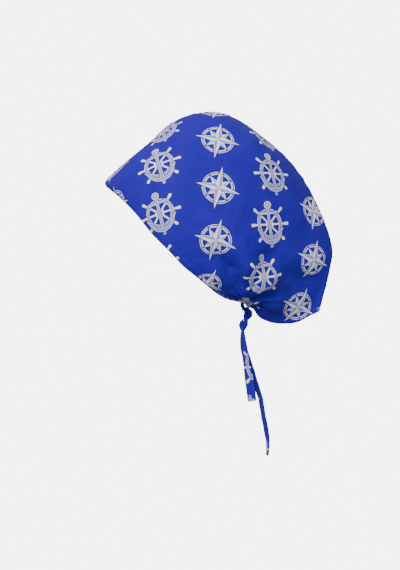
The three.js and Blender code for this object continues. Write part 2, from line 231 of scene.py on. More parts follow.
def fine_lift(point, side, from_rim, from_seam, along_rim, along_seam):
    """How far the small forms lift the cloth: gathers, hem, seam and soft ripples."""
    seed = FINE_SEEDS[side]
    distance, angle = round_nape(point)
    away = smooth(point[..., 0] / GATHER_RISE)
    gather = smooth(distance / GATHER_RISE) * ridge(distance, 0, GATHER_REACH) * away
    wide, narrow = (np.sin(2 * np.pi * angle / p + k * seed) for k, p in enumerate(GATHER_PITCHES, 1))
    lift = GATHER_HEIGHT * gather * (wide + 0.5 * narrow)
    lift -= HEM_DIP * ridge(from_rim, HEM_WIDTH, HEM_DIP_WIDTH)
    lift += HEM_SWELL * ridge(from_rim, HEM_WIDTH / 2, HEM_SWELL_WIDTH)
    rim_pucker = waves(along_rim, 0 * along_rim, seed + 1, HEM_PUCKERS)
    lift += rim_pucker * ridge(from_rim, HEM_WIDTH, HEM_PUCKER_WIDTH)
    seam_pucker = waves(along_seam, 0 * along_seam, seed + 2, SEAM_PUCKERS)
    lift += (seam_pucker + SEAM_RIDGE) * ridge(from_seam, SEAM_RIDGE_AT, SEAM_RIDGE_WIDTH)
    lift -= SEAM_GROOVE * ridge(from_seam, 0, SEAM_GROOVE_WIDTH)
    # The cloth ripples more where it hangs loose, behind the crown and low down.
    loose = smooth((point[..., 1] - 10) / 110) * (0.35 + 0.65 * smooth((40 - point[..., 2]) / 90))
    soft = waves(point[..., 1], point[..., 2], seed + 3, SOFT_RIPPLES) * (0.3 + loose)
    return lift + soft * smooth(from_seam / RIPPLE_FADE) * smooth(from_rim / RIPPLE_FADE)


COLUMNS, ROWS = 250, 104  # about 1.4 mm from one point of the mesh to the next
CLOSE_ROWS, CLOSE_REACH, RIB_SAMPLES = 16, 14.0, 241  # rows within the first 14 mm from the rim


def rib_shares(around):
    """For each rib, shares of the way up: close together along the hem and at the seam."""
    up = np.linspace(0, 1, RIB_SAMPLES)
    grid = smooth_point(np.repeat(around[:, None], RIB_SAMPLES, 1), np.repeat(up[None], len(around), 0))
    shares = np.empty((len(around), ROWS + 1))
    for i, rib in enumerate(grid):
        run = run_along(rib)
        close = min(CLOSE_REACH, 0.4 * run[-1])
        low = np.linspace(0, close, CLOSE_ROWS + 1)
        spread = np.linspace(0, 1, ROWS - CLOSE_ROWS + 1) ** 1.05
        high = close + (run[-1] - close) * np.sin(np.pi / 2 * spread)
        shares[i] = np.interp(np.concatenate([low, high[1:]]), run, up)
    return shares


around = np.linspace(0, 1, COLUMNS + 1)
up_grid = rib_shares(around)
around_grid = np.repeat(around[:, None], ROWS + 1, 1)
plain = smooth_point(around_grid, up_grid)
outward = smooth_normal(around_grid, up_grid)
from_rim = np.stack([run_along(rib) for rib in plain])
along_rim = run_along(plain[:, 0])[:, None] + 0 * from_rim
# The seam in the side view, from the brow over the top and under the bag to the nape, a point each mm.
share = np.linspace(0, 1, 200)
seam_line = np.vstack([brow_at(share), crown_at(share)[1:], bag_at(share)[::-1][1:]])
seam_length = run_along(seam_line)[-1]
seam_line = evenly(seam_line)(np.linspace(0, 1, int(seam_length)))
from_seam, along_seam = np.empty_like(from_rim), np.empty_like(from_rim)
for i, rib in enumerate(plain):
    off = rib[:, None, 1:] - seam_line[None]
    away = np.hypot(np.linalg.norm(off, axis=-1), rib[:, :1])
    nearest = away.argmin(1)
    from_seam[i], along_seam[i] = away.min(1), run_along(seam_line)[nearest]
from_seam[0] = from_seam[-1] = from_seam[:, -1] = 0


def deselect():
    for o in bpy.context.selected_objects:
        o.select_set(False)


def grid_piece(name, points):
    """A primitive grid given one vertex for each point, in mm: points[i, j] with i along and j across."""
    deselect()
    nu, nv = points.shape[0] - 1, points.shape[1] - 1
    bpy.ops.mesh.primitive_grid_add(x_subdivisions=nu, y_subdivisions=nv, size=2, calc_uvs=False)
    piece = bpy.context.object
    piece.name = piece.data.name = name
    where = np.empty(len(piece.data.vertices) * 3)
    piece.data.vertices.foreach_get("co", where)
    where = where.reshape(-1, 3)
    i = np.rint((where[:, 0] + 1) / 2 * nu).astype(int)
    j = np.rint((where[:, 1] + 1) / 2 * nv).astype(int)
    piece.data.vertices.foreach_set("co", (points[i, j] / 1000).ravel())
    piece.data.update()
    return piece, i, j


def note(piece, **lengths):
    """Keeps lengths in mm at each vertex, for the material to read."""
    for name, values in lengths.items():
        data = piece.data.attributes.new(name, "FLOAT", "POINT").data
        data.foreach_set("value", np.asarray(values, np.float32))


def flat_cut(points, sideways):
    """Flattens a grid of points, and gives each point's place on the flat cloth in mm."""
    piece, i, j = grid_piece("flat_pattern", points)
    piece.data.uv_layers.new(name="flat")
    bpy.ops.object.mode_set(mode="EDIT")
    bpy.ops.mesh.select_all(action="SELECT")
    bpy.ops.uv.unwrap(method="MINIMUM_STRETCH", iterations=30, margin=0)
    bpy.ops.object.mode_set(mode="OBJECT")
    mesh = piece.data
    uv = np.empty(len(mesh.loops) * 2)
    mesh.uv_layers.active.data.foreach_get("uv", uv)
    corner = np.empty(len(mesh.loops), int)
    mesh.loops.foreach_get("vertex_index", corner)
    place = np.zeros((len(mesh.vertices), 2))
    place[corner] = uv.reshape(-1, 2)
    flat = np.zeros(points.shape[:2] + (2,))
    flat[i, j] = place
    bpy.data.objects.remove(piece)

    def area(g):
        a, b = g[1:, 1:] - g[:-1, :-1], g[1:, :-1] - g[:-1, 1:]
        if g.shape[-1] == 2:
            return np.abs(a[..., 0] * b[..., 1] - a[..., 1] * b[..., 0]).sum() / 2
        return np.linalg.norm(np.cross(a, b), axis=-1).sum() / 2

    flat *= math.sqrt(area(points) / area(flat))
    # Turned so that the middle of the panel lies as it does in the side view.
    nu, nv = points.shape[:2]
    inner = (slice(nu // 3, 2 * nu // 3), slice(nv // 4, 3 * nv // 4))
    seen = np.stack([points[..., 1] * sideways, points[..., 2]], -1)
    a = (flat[inner] - flat[inner].mean((0, 1))).reshape(-1, 2)
    b = (seen[inner] - seen[inner].mean((0, 1))).reshape(-1, 2)
    left, _, right = np.linalg.svd(a.T @ b)
    flat = flat @ (left @ right)
    return flat - flat[inner].mean((0, 1)) + seen[inner].mean((0, 1))


# Where the cloth is held in: from just ahead of the origin forwards and from 60 mm above it upwards.
HELD_FROM_Y, HELD_FADE_Y, HELD_FROM_Z, HELD_FADE_Z = -4.0, 18.0, 60.0, 15.0
HELD_SOFTNESS, HELD_REACH = 0.7, 4.0


def held_in(point):
    """Draws in the cloth ahead of the crown where it would stand out past the seam in the side view."""
    held = point.copy()
    ahead = np.gradient(seam_line, axis=0)
    ahead /= np.linalg.norm(ahead, axis=1, keepdims=True)
    outer = np.stack([-ahead[:, 1], ahead[:, 0]], -1)
    for rib in held:
        off = rib[:, None, 1:] - seam_line[None]
        nearest = np.linalg.norm(off, axis=-1).argmin(1)
        beyond = (off[np.arange(len(rib)), nearest] * outer[nearest]).sum(-1)
        soft = -np.log1p(np.exp(-np.clip(beyond / HELD_SOFTNESS, -40, 40))) * HELD_SOFTNESS
        front = smooth((HELD_FROM_Y - rib[:, 1]) / HELD_FADE_Y)
        front = front * smooth((rib[:, 2] - HELD_FROM_Z) / HELD_FADE_Z)
        rib[:, 1:] += outer[nearest] * ((soft - beyond) * front * (beyond > -HELD_REACH))[:, None]
    return held


MIRRORED = {"left": (1, 1, 1), "right": (-1, 1, 1)}


def panel_points(side):
    """The outer face of a panel, point by point in mm."""
    point = plain + outward * fold_lift(plain, side)[..., None]
    point = point + outward * fine_lift(plain, side, from_rim, from_seam, along_rim, along_seam)[..., None]
    point = held_in(point)
    point[..., 0] = np.maximum(point[..., 0], SEAM_GAP / 2)
    point[:, -1, 0] = SEAM_GAP / 2
    point[0, :, 0] = point[-1, :, 0] = SEAM_GAP / 2
    return point * MIRRORED[side]


def write_cut(piece, place):
    """Gives each corner its vertex's place on the flat cloth, in mm."""
    mesh = piece.data
    corner = np.empty(len(mesh.loops), int)
    mesh.loops.foreach_get("vertex_index", corner)
    mesh.uv_layers.new(name="cut").data.foreach_set("uv", np.asarray(place, np.float32)[corner].ravel())


def modify(piece, kind, **settings):
    bpy.context.view_layer.objects.active = piece
    modifier = piece.modifiers.new(kind.title(), kind)
    for name, value in settings.items():
        setattr(modifier, name, value)
    bpy.ops.object.modifier_apply(modifier=modifier.name)


def linear(colour):
    """The linear colour of an sRGB hex value."""
    parts = [int(colour[k : k + 2], 16) / 255 for k in (1, 3, 5)]
    return (*[c / 12.92 if c <= 0.04045 else ((c + 0.055) / 1.055) ** 2.4 for c in parts], 1)


def add_node(tree, kind, inputs=None, **settings):
    """One shader node, its settings, and its inputs by place or name: each a value or a socket to link."""
    node = tree.nodes.new("ShaderNode" + kind)
    for name, value in settings.items():
        setattr(node, name, value)
    for place, value in (inputs or {}).items():
        if isinstance(value, bpy.types.NodeSocket):
            tree.links.new(value, node.inputs[place])
        else:
            node.inputs[place].default_value = value
    return node


def empty_tree(owner):
    """The node tree of a material or a world, with nothing in it yet."""
    owner.use_nodes = True
    owner.node_tree.nodes.clear()
    return owner.node_tree


# The print: columns of motifs, each column half a step lower than the last, an anchor on a ship's
# wheel in one and a compass star in the next, white with lilac shading.
REPEAT_ACROSS, REPEAT_UP, PRINT_TURN = 56.0, 51.0, 6.0
PRINT_SIZE, PRINT_SHIFT = 1.14, (24.0, 20.0, 0)
INK_WHITE, INK_LILAC = "#fcfcff", "#9896dc"
# Strokes: from (x, y) to (x, y), radius at each end. The anchor's are doubled left to right, and the
# wheel's are turned eight times round its hub.
ANCHOR_TILT, ANCHOR_RING, ANCHOR_RING_RADIUS, ANCHOR_RING_BAND = -14.0, (0, 18.4, 0), 2.9, 0.75
ANCHOR_STROKES = [
    (0, -16, 0, 15.4, 1.7, 1.25), (0, 10.8, 7.6, 10.8, 1.15, 0.95),
    (7.6, 10.8, 8.4, 10.8, 1.6, 1.6), (0, -17.4, 6.2, -15.6, 1.9, 1.6),
    (6.2, -15.6, 10.9, -11.4, 1.6, 1.25), (10.9, -11.4, 13.3, -5.4, 1.25, 0.8),
    (15.2, -3.6, 10.6, -9.0, 0.3, 2.0), (0, -19.9, 0, -18.0, 0.3, 1.5),
]
WHEEL_STROKES = [(0, 0, 19.0, 0, 0.85, 0.85), (16.2, 0, 20.4, 0, 1.0, 1.5), (0, 0, 3.0, 0, 2.6, 2.0)]
WHEEL_RADIUS, WHEEL_BAND = 13.0, 1.7
STAR_TILT, STAR_LONG, STAR_WAIST, STAR_SHORT, STAR_ROOT = 10.0, 21.0, 3.5, 9.4, 4.8
STAR_RINGS = [(13.4, 0.55), (15.3, 0.28)]
INK_LINE, INK_GAP, INK_EDGE = 0.5, 0.95, 0.2


def near_strokes(tree, spot, strokes):
    """The distance in mm from spot to the edge of the nearest stroke, less than 0 inside it."""
    nearest = None
    for x0, y0, x1, y1, r0, r1 in strokes:
        run = np.array([x1 - x0, y1 - y0], float)
        back = tuple(run / (run @ run)) + (0,)
        off = add_node(tree, "VectorMath", {0: spot, 1: (x0, y0, 0)}, operation="SUBTRACT").outputs[0]
        along = add_node(tree, "VectorMath", {0: off, 1: back}, operation="DOT_PRODUCT").outputs["Value"]
        along = add_node(tree, "Clamp", {0: along}).outputs[0]
        foot = add_node(tree, "VectorMath", {0: (*run, 0), "Scale": along}, operation="SCALE").outputs[0]
        gap = add_node(tree, "VectorMath", {0: off, 1: foot}, operation="DISTANCE").outputs["Value"]
        gap = add_node(tree, "Math", {0: along, 1: r0 - r1, 2: gap}, operation="MULTIPLY_ADD").outputs[0]
        gap = add_node(tree, "Math", {0: gap, 1: r0}, operation="SUBTRACT").outputs[0]
        if nearest is not None:
            gap = add_node(tree, "Math", {0: gap, 1: nearest}, operation="MINIMUM").outputs[0]
        nearest = gap
    return nearest


def near_ring(tree, distance, radius, half_width):
    """The distance in mm to the edge of a ring, from the distance to its centre."""
    off = add_node(tree, "Math", {0: distance, 1: radius}, operation="SUBTRACT").outputs[0]
    off = add_node(tree, "Math", {0: off}, operation="ABSOLUTE").outputs[0]
    return add_node(tree, "Math", {0: off, 1: half_width}, operation="SUBTRACT").outputs[0]


def inked(tree, distance, grown=0.0):
    """1 inside a form that is grown by some mm, 0 outside it, over a soft edge."""
    return add_node(tree, "MapRange", {0: distance, 1: grown + INK_EDGE, 2: grown - INK_EDGE}).outputs[0]


def draw_anchor(tree, spot):
    """The anchor on its wheel: how much ink there is, and how much of the ink is lilac."""
    tilt = math.radians(ANCHOR_TILT)
    spot = add_node(tree, "VectorRotate", {"Vector": spot, "Angle": tilt}, rotation_type="Z_AXIS").outputs[0]
    x, y = add_node(tree, "SeparateXYZ", {0: spot}).outputs[:2]
    beside = add_node(tree, "Math", {0: x}, operation="ABSOLUTE").outputs[0]
    halved = add_node(tree, "CombineXYZ", {0: beside, 1: y}).outputs[0]
    anchor = near_strokes(tree, halved, ANCHOR_STROKES)
    ring = add_node(tree, "VectorMath", {0: spot, 1: ANCHOR_RING}, operation="DISTANCE").outputs["Value"]
    ring = near_ring(tree, ring, ANCHOR_RING_RADIUS, ANCHOR_RING_BAND)
    anchor = add_node(tree, "Math", {0: anchor, 1: ring}, operation="MINIMUM").outputs[0]
    out = add_node(tree, "VectorMath", {0: spot}, operation="LENGTH").outputs["Value"]
    turn = add_node(tree, "Math", {0: y, 1: x}, operation="ARCTAN2").outputs[0]
    turn = add_node(tree, "Math", {0: turn, 1: math.pi / 8}, operation="PINGPONG").outputs[0]
    folded = add_node(tree, "CombineXYZ", {0: out}).outputs[0]
    folded = add_node(
        tree, "VectorRotate", {"Vector": folded, "Angle": turn}, rotation_type="Z_AXIS"
    ).outputs[0]
    spokes = near_strokes(tree, folded, WHEEL_STROKES)
    band = near_ring(tree, out, WHEEL_RADIUS, WHEEL_BAND)
    wheel = add_node(tree, "Math", {0: spokes, 1: band}, operation="MINIMUM").outputs[0]
    clear = add_node(tree, "Math", {0: 1.0, 1: inked(tree, anchor, INK_GAP)}, operation="SUBTRACT").outputs[0]
    wheel = add_node(tree, "Math", {0: inked(tree, wheel), 1: clear}, operation="MULTIPLY").outputs[0]
    ink = add_node(tree, "Math", {0: inked(tree, anchor), 1: wheel}, operation="MAXIMUM").outputs[0]
    shade = add_node(
        tree, "Math", {0: inked(tree, band, -INK_LINE), 1: clear}, operation="MULTIPLY"
    ).outputs[0]
    lilac = add_node(
        tree, "Math", {0: inked(tree, anchor, -INK_LINE), 1: shade}, operation="MAXIMUM"
    ).outputs[0]
    return ink, lilac


def draw_star(tree, spot):
    """The compass star in its rings: how much ink there is, and how much of the ink is lilac."""
    tilt = math.radians(STAR_TILT)
    spot = add_node(tree, "VectorRotate", {"Vector": spot, "Angle": tilt}, rotation_type="Z_AXIS").outputs[0]
    x, y = add_node(tree, "SeparateXYZ", {0: spot}).outputs[:2]
    beside, above = (add_node(tree, "Math", {0: v}, operation="ABSOLUTE").outputs[0] for v in (x, y))
    high = add_node(tree, "Math", {0: beside, 1: above}, operation="MAXIMUM").outputs[0]
    low = add_node(tree, "Math", {0: beside, 1: above}, operation="MINIMUM").outputs[0]
    wedge = add_node(tree, "CombineXYZ", {0: high, 1: low, 2: 1.0}).outputs[0]
    # Each edge is a line: its normal and its distance from the centre, against (high, low, 1).
    size = math.hypot(STAR_WAIST, STAR_LONG - STAR_WAIST)
    edge = (STAR_WAIST / size, (STAR_LONG - STAR_WAIST) / size, -STAR_LONG * STAR_WAIST / size)
    long = add_node(tree, "VectorMath", {0: wedge, 1: edge}, operation="DOT_PRODUCT").outputs["Value"]
    size = math.hypot(STAR_SHORT - STAR_ROOT, STAR_SHORT)
    edge = (STAR_SHORT / size, (STAR_ROOT - STAR_SHORT) / size, -STAR_ROOT * STAR_SHORT / size)
    short = add_node(tree, "VectorMath", {0: wedge, 1: edge}, operation="DOT_PRODUCT").outputs["Value"]
    star = add_node(tree, "Math", {0: long, 1: short}, operation="MINIMUM").outputs[0]
    # Every second facet is lilac; the short points' facets are shaded the other way about.
    facet = add_node(tree, "Math", {0: x, 1: y}, operation="MULTIPLY").outputs[0]
    across = add_node(tree, "Math", {0: beside, 1: above}, operation="SUBTRACT").outputs[0]
    facet = add_node(tree, "Math", {0: facet, 1: across}, operation="MULTIPLY").outputs[0]
    facet = add_node(tree, "Math", {0: facet, 1: 0.0}, operation="GREATER_THAN").outputs[0]
    on_long = add_node(tree, "Math", {0: long, 1: 0.0}, operation="LESS_THAN").outputs[0]
    facet = add_node(tree, "Math", {0: facet, 1: on_long}, operation="SUBTRACT").outputs[0]
    facet = add_node(tree, "Math", {0: facet}, operation="ABSOLUTE").outputs[0]
    lilac = add_node(
        tree, "Math", {0: inked(tree, star, -INK_LINE), 1: facet}, operation="MULTIPLY"
    ).outputs[0]
    clear = add_node(tree, "Math", {0: 1.0, 1: inked(tree, star, INK_GAP)}, operation="SUBTRACT").outputs[0]
    ink = inked(tree, star)
    out = add_node(tree, "VectorMath", {0: spot}, operation="LENGTH").outputs["Value"]
    for radius, half_width in STAR_RINGS:
        ring = inked(tree, near_ring(tree, out, radius, half_width))
        ring = add_node(tree, "Math", {0: ring, 1: clear}, operation="MULTIPLY").outputs[0]
        ink = add_node(tree, "Math", {0: ink, 1: ring}, operation="MAXIMUM").outputs[0]
    return ink, lilac


# Poplin's threads are about 0.3 mm apart; they are drawn at 0.9 mm so that they show.
THREAD_PITCH = 0.9
# A stitched line: half a stitch's length and half its thread's width in mm, at each pitch.
LINE_PITCH, LINE_HALF_STITCH, LINE_HALF_THREAD = 2.6, 0.85, 0.32


def printed_cotton(name, ground, through, stitch_at=None):
    """Woven cotton with the print on it. through is how much of the print shows: all on the face,
    some on the reverse. stitch_at is the distance of a stitched line in the attribute across."""
    material = bpy.data.materials.new(name)
    tree = empty_tree(material)
    cut = add_node(tree, "UVMap", uv_map="cut").outputs[0]

    turned = add_node(tree, "Mapping", {
        "Vector": cut, "Location": PRINT_SHIFT, "Rotation": (0, 0, math.radians(PRINT_TURN)),
        "Scale": (1 / PRINT_SIZE, 1 / PRINT_SIZE, 1),
    }).outputs[0]
    u, v = add_node(tree, "SeparateXYZ", {0: turned}).outputs[:2]
    x = add_node(
        tree, "Math", {0: u, 1: REPEAT_ACROSS / 2, 2: -REPEAT_ACROSS / 2}, operation="WRAP"
    ).outputs[0]
    column = add_node(tree, "Math", {0: u, 1: x}, operation="SUBTRACT").outputs[0]
    second = add_node(tree, "Math", {0: column, 1: REPEAT_ACROSS}, operation="PINGPONG").outputs[0]
    second = add_node(tree, "Math", {0: second, 1: REPEAT_ACROSS / 2}, operation="GREATER_THAN").outputs[0]
    lowered = add_node(tree, "Math", {0: second, 1: REPEAT_UP / 2, 2: v}, operation="MULTIPLY_ADD").outputs[0]
    y = add_node(tree, "Math", {0: lowered, 1: REPEAT_UP / 2, 2: -REPEAT_UP / 2}, operation="WRAP").outputs[0]
    spot = add_node(tree, "CombineXYZ", {0: x, 1: y}).outputs[0]
    anchor_ink, anchor_lilac = draw_anchor(tree, spot)
    star_ink, star_lilac = draw_star(tree, spot)
    ink = add_node(tree, "Mix", {0: second, 2: anchor_ink, 3: star_ink}).outputs[0]
    lilac = add_node(tree, "Mix", {0: second, 2: anchor_lilac, 3: star_lilac}).outputs[0]

    # Threads: a plain weave's over and under, and slubs that run a few centimetres along a thread.
    u, v = add_node(tree, "SeparateXYZ", {0: cut}).outputs[:2]
    waves_across = [
        add_node(tree, "Math", {0: way, 1: math.pi / THREAD_PITCH}, operation="MULTIPLY").outputs[0]
        for way in (u, v)
    ]
    waves_across = [add_node(tree, "Math", {0: way}, operation="SINE").outputs[0] for way in waves_across]
    threads = [add_node(tree, "Math", {0: wave}, operation="ABSOLUTE").outputs[0] for wave in waves_across]
    over = add_node(tree, "Math", {0: waves_across[0], 1: waves_across[1]}, operation="MULTIPLY").outputs[0]
    over = add_node(tree, "MapRange", {0: over, 1: -0.25, 2: 0.25}).outputs[0]
    weave = add_node(tree, "Mix", {0: over, 2: threads[0], 3: threads[1]}).outputs[0]
    slubs = [
        add_node(tree, "TexNoise", {
            "Vector": add_node(tree, "Mapping", {"Vector": cut, "Scale": scale}).outputs[0],
            "Scale": 1.0, "Detail": 2.0, "Roughness": 0.6,
        }, noise_dimensions="2D").outputs[0]
        for scale in ((0.9, 0.035, 1), (0.035, 0.9, 1))
    ]
    slub = add_node(tree, "Math", {0: slubs[0], 1: slubs[1]}, operation="ADD").outputs[0]
    dye = add_node(
        tree, "TexNoise", {"Vector": cut, "Scale": 0.03, "Detail": 3.0}, noise_dimensions="2D"
    ).outputs[0]
    crease = add_node(
        tree, "TexNoise", {"Vector": cut, "Scale": 0.075, "Detail": 4.0, "Roughness": 0.55},
        noise_dimensions="2D",
    ).outputs[0]

    # Colour: the dyed ground is a little uneven along threads and from place to place. The weave term is
    # painted shade: the crowns of the threads a little lighter and the hollows between them a little darker.
    shade = add_node(tree, "Math", {0: slub, 1: 0.22, 2: 0.57}, operation="MULTIPLY_ADD").outputs[0]
    shade = add_node(tree, "Math", {0: dye, 1: 0.36, 2: shade}, operation="MULTIPLY_ADD").outputs[0]
    shade = add_node(tree, "Math", {0: weave, 1: 0.05, 2: shade}, operation="MULTIPLY_ADD").outputs[0]
    dyed = add_node(tree, "VectorMath", {0: linear(ground)[:3], "Scale": shade}, operation="SCALE").outputs[0]
    pigment = add_node(
        tree, "Mix", {0: lilac, 6: linear(INK_WHITE), 7: linear(INK_LILAC)}, data_type="RGBA"
    ).outputs[2]
    # Pigment sits on the tops of the threads, so it is a little broken up by the weave.
    cover = add_node(tree, "Math", {0: slub, 1: -0.1, 2: 1.1}, operation="MULTIPLY_ADD").outputs[0]
    cover = add_node(tree, "Math", {0: ink, 1: cover}, operation="MULTIPLY", use_clamp=True).outputs[0]
    cover = add_node(tree, "Math", {0: cover, 1: through}, operation="MULTIPLY").outputs[0]
    colour = add_node(tree, "Mix", {0: cover, 6: dyed, 7: pigment}, data_type="RGBA").outputs[2]
    # Wear: the fold of the hem and the ridge of the seam are rubbed a little paler.
    edges = [
        add_node(tree, "MapRange", {
            0: add_node(tree, "Attribute", attribute_name=name).outputs["Fac"], 1: reach, 2: 0.0,
        }).outputs[0]
        for name, reach in (("from_rim", 1.6), ("from_seam", 1.4))
    ]
    rubbed = add_node(tree, "Math", {0: edges[0], 1: edges[1]}, operation="MAXIMUM").outputs[0]
    rubbed = add_node(tree, "Math", {0: rubbed, 1: slub}, operation="MULTIPLY").outputs[0]
    rubbed = add_node(tree, "Math", {0: rubbed, 1: 0.07}, operation="MULTIPLY").outputs[0]
    colour = add_node(tree, "Mix", {0: rubbed, 6: colour, 7: linear("#7f8fd8")}, data_type="RGBA").outputs[2]
    height = add_node(tree, "Math", {0: slub, 1: 0.5, 2: weave}, operation="MULTIPLY_ADD").outputs[0]
    if stitch_at is not None:
        # Stitches in thread a little paler than the ground, sunk into the folded cloth.
        across = add_node(tree, "Attribute", attribute_name="across").outputs["Fac"]
        along = add_node(tree, "Attribute", attribute_name="along_seam").outputs["Fac"]
        line = inked(tree, near_ring(tree, across, stitch_at, LINE_HALF_THREAD))
        dash = add_node(
            tree, "Math", {0: along, 1: LINE_PITCH / 2, 2: -LINE_PITCH / 2}, operation="WRAP"
        ).outputs[0]
        dash = inked(tree, near_ring(tree, dash, 0.0, LINE_HALF_STITCH))
        stitch = add_node(tree, "Math", {0: line, 1: dash}, operation="MULTIPLY").outputs[0]
        colour = add_node(
            tree, "Mix", {0: stitch, 6: colour, 7: linear("#2a3cae")}, data_type="RGBA"
        ).outputs[2]
        sunk = add_node(tree, "Math", {0: stitch, 1: 3.0}, operation="MULTIPLY").outputs[0]
        sunk = add_node(tree, "Math", {0: line, 1: -2.4, 2: sunk}, operation="MULTIPLY_ADD").outputs[0]
        height = add_node(tree, "Math", {0: height, 1: sunk}, operation="ADD").outputs[0]
    worn = add_node(tree, "Bump", {"Strength": 0.6, "Distance": 0.003, "Height": crease}).outputs[0]
    woven = add_node(
        tree, "Bump", {"Strength": 0.55, "Distance": 0.00012, "Height": height, "Normal": worn}
    ).outputs[0]
    rough = add_node(tree, "Math", {0: slub, 1: 0.12, 2: 0.74}, operation="MULTIPLY_ADD").outputs[0]
    rough = add_node(tree, "Math", {0: cover, 1: -0.1, 2: rough}, operation="MULTIPLY_ADD").outputs[0]
    cloth = add_node(tree, "BsdfPrincipled", {
        "Base Color": colour, "Roughness": rough, "Normal": woven, "IOR": 1.53, "Specular IOR Level": 0.18,
        "Sheen Weight": 0.06, "Sheen Roughness": 0.45, "Sheen Tint": linear("#c9d2ff"),
    })
    add_node(tree, "OutputMaterial", {"Surface": cloth.outputs[0]})
    return material


# Mercerised cotton poplin, roller printed: an even royal blue, matt, with crisp white and lilac motifs.
ROYAL_BLUE, REVERSE_BLUE, SHOWS_THROUGH = "#2812a2", "#2f47ab", 0.3
poplin = printed_cotton("printed_cotton_poplin", ROYAL_BLUE, 1.0)
# Its reverse, where little of the pigment has gone through: paler and duller, with the print faint.
poplin_reverse = printed_cotton("cotton_poplin_reverse", REVERSE_BLUE, SHOWS_THROUGH)

# The flat cut is worked out on every fifth column and fourth row of points, and filled in between.
EACH_COLUMN, EACH_ROW = 5, 4
for side in ("left", "right"):
    points = panel_points(side)
    flat = flat_cut(points[::EACH_COLUMN, ::EACH_ROW], MIRRORED[side][0])
    columns, rows = np.arange(COLUMNS + 1), np.arange(ROWS + 1)
    fine = np.empty(points.shape[:2] + (2,))
    for axis in (0, 1):
        filled = np.stack([np.interp(rows, rows[::EACH_ROW], line) for line in flat[..., axis]])
        fine[..., axis] = np.stack([np.interp(columns, columns[::EACH_COLUMN], line) for line in filled.T], 1)
    panel, i, j = grid_piece(f"panel_{side}", points)
    write_cut(panel, fine[i, j])
    note(panel, from_rim=from_rim[i, j], from_seam=from_seam[i, j])
    if side == "right":
        panel.data.flip_normals()
    bpy.ops.object.shade_smooth()
    panel.data.materials.append(poplin)
    panel.data.materials.append(poplin_reverse)
    modify(panel, "SOLIDIFY", thickness=CLOTH_THICKNESS / 1000, offset=-1, use_rim=True, material_offset=1)
    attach(panel, "root")
    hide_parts(f"crown_{side}")

# Seam allowances. Beyond the seam each panel has 8 mm more cloth, pressed open on the inside and
# caught under the hem at the brow. The edges are overlocked so that they don't fray.
ALLOWANCE_WIDTH, ALLOWANCE_THICKNESS = 8.0, 0.7
ALLOWANCE_START, ALLOWANCE_END = HEM_WIDTH + 1.0, seam_length - 26.0  # along the seam from the brow
STATION_STEP, ACROSS_POINTS, NEIGHBOURS = 1.6, 21, 12
# At the bag's corner the allowance is clipped, so it lies deeper there.
UNDER_PANEL, CORNER_DEPTH, CORNER_REACH, LEAST_X = 0.15, 2.2, 9.0, 0.1
stations = np.arange(ALLOWANCE_START, ALLOWANCE_END, STATION_STEP)
offsets = np.linspace(-ALLOWANCE_WIDTH, ALLOWANCE_WIDTH, ACROSS_POINTS)
corner_at = np.linalg.norm(seam_line - crown_end, axis=1).argmin()
depth = CLOTH_THICKNESS + UNDER_PANEL + CORNER_DEPTH * ridge(along_seam, corner_at, CORNER_REACH)
strip = np.zeros((len(stations), len(offsets), 3))
for side, sign in (("left", 1), ("right", -1)):
    # Each point lies just under the panel, as far from the seam and as far along it as it should be.
    near = from_seam < ALLOWANCE_WIDTH + 4
    under = (panel_points(side) - outward * MIRRORED[side] * depth[..., None])[near]
    away, along = from_seam[near], along_seam[near]
    own = offsets * sign > 0
    for j in np.flatnonzero(own):
        for i, station in enumerate(stations):
            gap = np.hypot(away - abs(offsets[j]), along - station)
            closest = np.argpartition(gap, NEIGHBOURS)[:NEIGHBOURS]
            share = 1 / (gap[closest] + 0.3) ** 2
            strip[i, j] = (under[closest] * share[:, None]).sum(0) / share.sum()
    strip[:, own, 0] = sign * np.maximum(LEAST_X, sign * strip[:, own, 0])
middle = len(offsets) // 2
strip[:, middle, 1:] = (strip[:, middle - 1, 1:] + strip[:, middle + 1, 1:]) / 2
# Neighbouring stations are evened out, as pressed cloth lies flatter than what it is sewn to.
for _ in range(3):
    strip[1:-1] = (strip[:-2] + 2 * strip[1:-1] + strip[2:]) / 4
allowance, i, j = grid_piece("seam_allowance", strip)
write_cut(allowance, np.stack([offsets[j] + 30, stations[i]], -1))
FAR = 99.0  # from_rim or from_seam where a piece has no rubbed edge
far = 0 * j + FAR
note(allowance, from_rim=far, from_seam=far, across=np.abs(offsets[j]), along_seam=stations[i])
bpy.ops.object.mode_set(mode="EDIT")
bpy.ops.mesh.select_all(action="SELECT")
bpy.ops.mesh.normals_make_consistent(inside=False)
bpy.ops.object.mode_set(mode="OBJECT")
bpy.ops.object.shade_smooth()
# The same cloth with its reverse outwards, and the overlock's edge as a line of thread.
OVERLOCK_AT = 6.4
overlocked = printed_cotton("overlocked_poplin_reverse", REVERSE_BLUE, SHOWS_THROUGH, stitch_at=OVERLOCK_AT)
allowance.data.materials.append(overlocked)
modify(allowance, "SOLIDIFY", thickness=ALLOWANCE_THICKNESS / 1000, offset=1, use_rim=True)
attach(allowance, "root")

